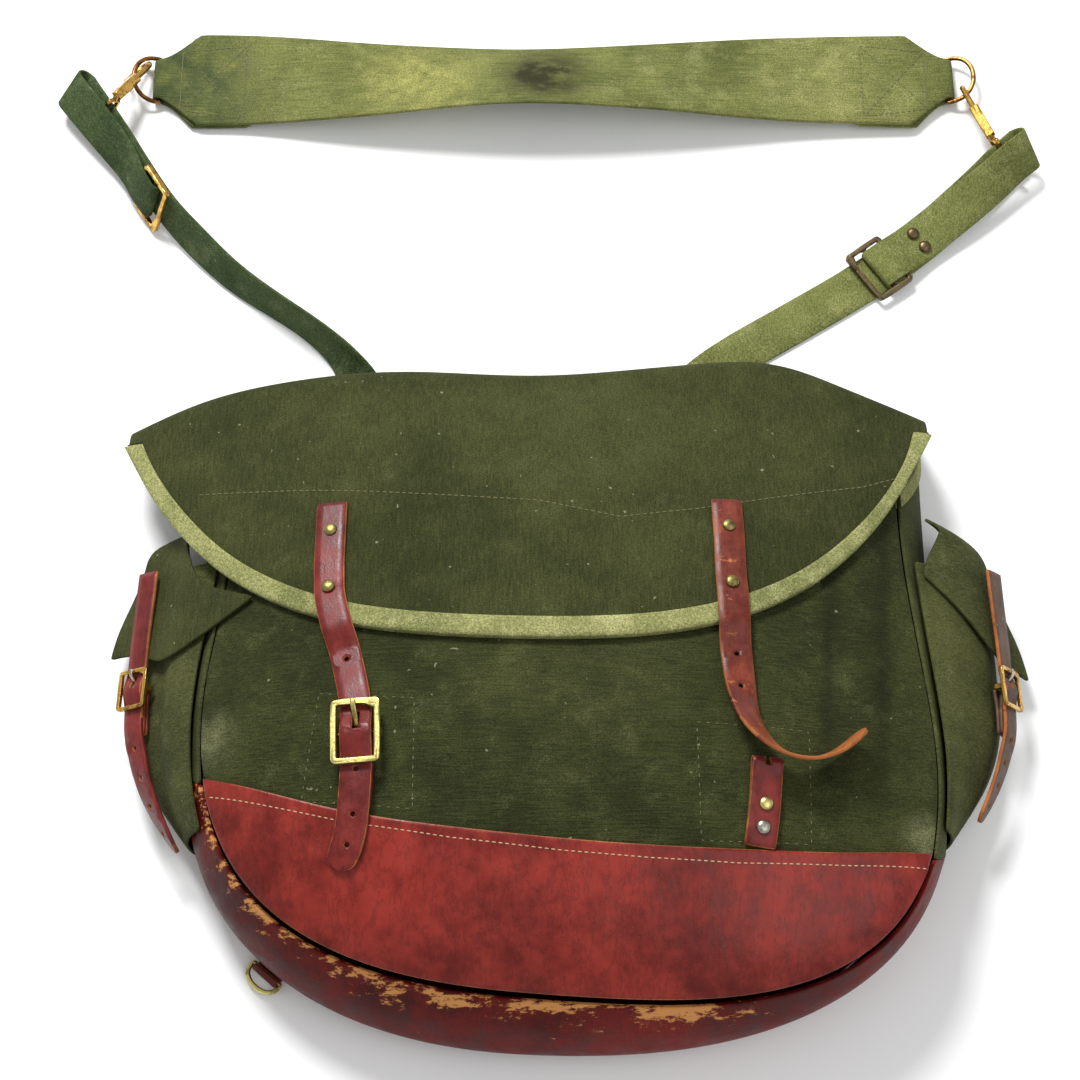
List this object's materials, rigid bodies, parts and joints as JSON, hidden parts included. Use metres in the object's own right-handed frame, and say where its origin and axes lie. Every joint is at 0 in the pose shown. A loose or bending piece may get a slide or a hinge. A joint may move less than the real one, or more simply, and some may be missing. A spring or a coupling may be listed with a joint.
{
  "type": "haversack",
  "caption": "Worn canvas haversack with a leather base, side pockets, buckled straps and a webbing shoulder strap, lying on its back.",
  "frame": {"origin": "centre of the flat rest face under the back panel", "axes": "+X to the right seen from the front, +Y from the base to the mouth, +Z from the rest face up through the front panel"},
  "size_m": [0.574, 0.6069, 0.1117],
  "materials": {
    "canvas": "worn olive cotton canvas",
    "tape": "pale green herringbone tape",
    "webbing": "faded olive webbing",
    "leather": "glossy oxblood hide, creased and scuffed",
    "brass": "aged brass",
    "bronze": "dark bronzed wire",
    "steel": "bare steel"
  },
  "bodies": {
    "bag": {"front_canvas": "canvas", "front_leather": "leather", "back_canvas": "canvas", "back_leather": "leather", "gusset_left": "canvas", "gusset_right": "canvas", "gusset_leather": "leather", "flap": "canvas", "flap_binding": "tape", "mouth_binding_left": "tape", "mouth_binding_right": "tape", "pocket_left": "canvas", "pocket_flap_left": "canvas", "pocket_right": "canvas", "pocket_flap_right": "canvas", "chape_left": "leather", "buckle_left": "brass", "tongue_left": "brass", "strap_left": "leather", "strap_right": "leather", "chape_right": "leather", "rivet_left_1": "brass", "rivet_left_2": "brass", "rivet_right_1": "brass", "rivet_right_2": "brass", "chape_rivet_brass": "brass", "chape_rivet_steel": "steel", "chape_pocket_left": "leather", "buckle_pocket_left": "brass", "tongue_pocket_left": "steel", "strap_pocket_left": "leather", "chape_pocket_right": "leather", "buckle_pocket_right": "brass", "tongue_pocket_right": "steel", "strap_pocket_right": "leather", "shoulder_pad": "webbing", "pad_ring_left": "brass", "pad_ring_right": "brass", "webbing_left": "webbing", "slide_left": "brass", "hook_left": "brass", "webbing_right": "webbing", "slide_right": "bronze", "hook_right": "brass", "webbing_rivet_1": "bronze", "webbing_rivet_2": "bronze", "base_ring_tab": "leather", "base_ring": "brass"},
    "gate_left": {"hook_gate_left": "brass"},
    "gate_right": {"hook_gate_right": "brass"}
  },
  "joints": [
    {"name": "hook_gate_left_spring", "type": "hinge", "parent": "bag", "child": "gate_left", "pos_m": [-0.25899, 0.37794, 0.02187], "axis": [0.5399, -0.5673, -0.6218], "range_deg": [0, 5], "stiffness_Nm_per_rad": 0.002, "springref_deg": -28.65},
    {"name": "hook_gate_right_spring", "type": "hinge", "parent": "bag", "child": "gate_right", "pos_m": [0.24508, 0.35444, 0.01944], "axis": [0.8442, 0.3633, 0.3941], "range_deg": [0, 16], "stiffness_Nm_per_rad": 0.002, "springref_deg": -28.65}
  ]
}
